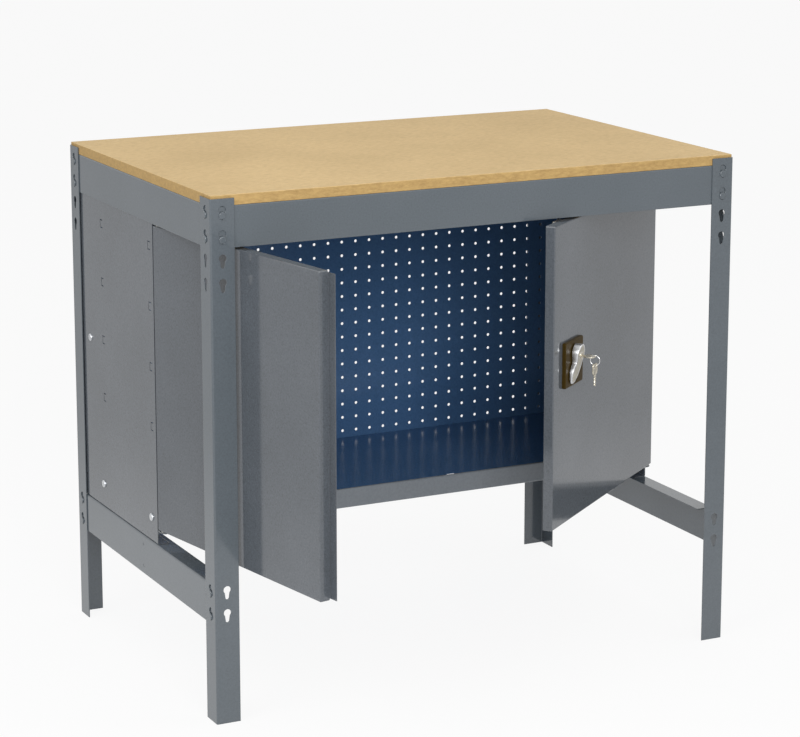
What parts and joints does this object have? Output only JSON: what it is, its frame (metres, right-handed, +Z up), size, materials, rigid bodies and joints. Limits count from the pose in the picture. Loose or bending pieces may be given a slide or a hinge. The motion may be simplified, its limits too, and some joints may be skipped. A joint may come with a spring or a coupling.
{
  "type": "workbench with cabinet doors",
  "caption": "Free-standing boltless steel workbench: angle legs with keyholes, hooked beams, a board worktop and a shallow lockable two-door cabinet with a perforated back.",
  "frame": {"origin": "middle of the bounding box's footprint at floor level, with the doors standing open as stored", "axes": "+X along the front to the right as the user faces the bench, +Y from the user towards the rear, +Z up"},
  "size_m": [0.919, 0.8312, 0.82],
  "materials": {
    "frame_paint": "glossy powder paint",
    "door_paint": "glossy grainy powder paint",
    "inside_paint": "glossy dark blue powder paint",
    "board": "smooth raw fibreboard",
    "zinc": "bright zinc",
    "nylon": "natural nylon",
    "lock_plate_black": "polished black",
    "handle_silver": "satin die casting",
    "key_metal": "nickelled brass",
    "key_wire": "bright wire"
  },
  "bodies": {
    "frame": {"leg_front_left": "frame_paint", "leg_front_right": "frame_paint", "leg_rear_right": "frame_paint", "leg_rear_left": "frame_paint", "front_top_beam": "frame_paint", "rear_top_beam": "frame_paint", "left_top_beam": "frame_paint", "right_top_beam": "frame_paint", "left_lower_beam": "frame_paint", "right_lower_beam": "frame_paint", "beam_studs": "frame_paint", "worktop": "board", "worktop_screws": "zinc", "cabinet_left_side": "door_paint", "cabinet_right_side": "door_paint", "cabinet_floor": "inside_paint", "cabinet_top": "inside_paint", "pegboard_back": "inside_paint", "cabinet_bolts": "zinc", "cabinet_nuts": "zinc", "hinge_brackets": "door_paint", "hinge_pins": "zinc", "hinge_washers": "nylon"},
    "left_door": {"left_door_panel": "door_paint", "left_door_stiffener": "door_paint"},
    "right_door": {"right_door_panel": "door_paint", "right_door_stiffener": "door_paint", "lock_plate": "lock_plate_black", "lock_barrel": "zinc", "lock_nut": "zinc", "rod_guides": "nylon"},
    "lock_handle": {"turn_handle": "handle_silver", "lock_spindle": "zinc", "lock_cam": "zinc", "cam_screw": "zinc"},
    "upper_rod": {"upper_locking_rod": "zinc"},
    "lower_rod": {"lower_locking_rod": "zinc"},
    "key": {"lock_plug": "key_metal", "door_key": "key_metal"},
    "key_ring": {"key_ring": "key_wire"},
    "spare_key": {"spare_key": "key_metal"}
  },
  "joints": [
    {"name": "left_door_hinge", "type": "hinge", "parent": "frame", "child": "left_door", "pos_m": [-0.4463, 0.03662, 0.491], "axis": [0, 0, -1], "range_deg": [-80, 0.5]},
    {"name": "right_door_hinge", "type": "hinge", "parent": "frame", "child": "right_door", "pos_m": [0.4463, 0.03662, 0.491], "axis": [0, 0, 1], "range_deg": [-38, 42.5]},
    {"name": "handle_turn", "type": "hinge", "parent": "right_door", "child": "lock_handle", "pos_m": [0.16829, -0.21307, 0.519], "axis": [0.6157, -0.788, 0], "range_deg": [0, 90]},
    {"name": "upper_rod_slide", "type": "slide", "parent": "right_door", "child": "upper_rod", "axis": [0, 0, 1], "range_m": [0, 0.01001]},
    {"name": "lower_rod_slide", "type": "slide", "parent": "right_door", "child": "lower_rod", "axis": [0, 0, -1], "range_m": [0, 0.01001]},
    {"name": "key_turn", "type": "hinge", "parent": "lock_handle", "child": "key", "pos_m": [0.16829, -0.21307, 0.519], "axis": [0.6157, -0.788, 0], "range_deg": [0, 90]},
    {"name": "key_ring_swing", "type": "hinge", "parent": "key", "child": "key_ring", "pos_m": [0.18257, -0.23136, 0.519], "axis": [0.6157, -0.788, 0], "range_deg": [-12, 12]},
    {"name": "spare_key_swing", "type": "hinge", "parent": "key_ring", "child": "spare_key", "pos_m": [0.18257, -0.23136, 0.5036], "axis": [0.6157, -0.788, 0], "range_deg": [-30, 30]}
  ],
  "couplings": [
    {"joint": "upper_rod_slide", "follows": "handle_turn", "m_per_rad": 0.0063662},
    {"joint": "lower_rod_slide", "follows": "handle_turn", "m_per_rad": 0.0063662}
  ]
}
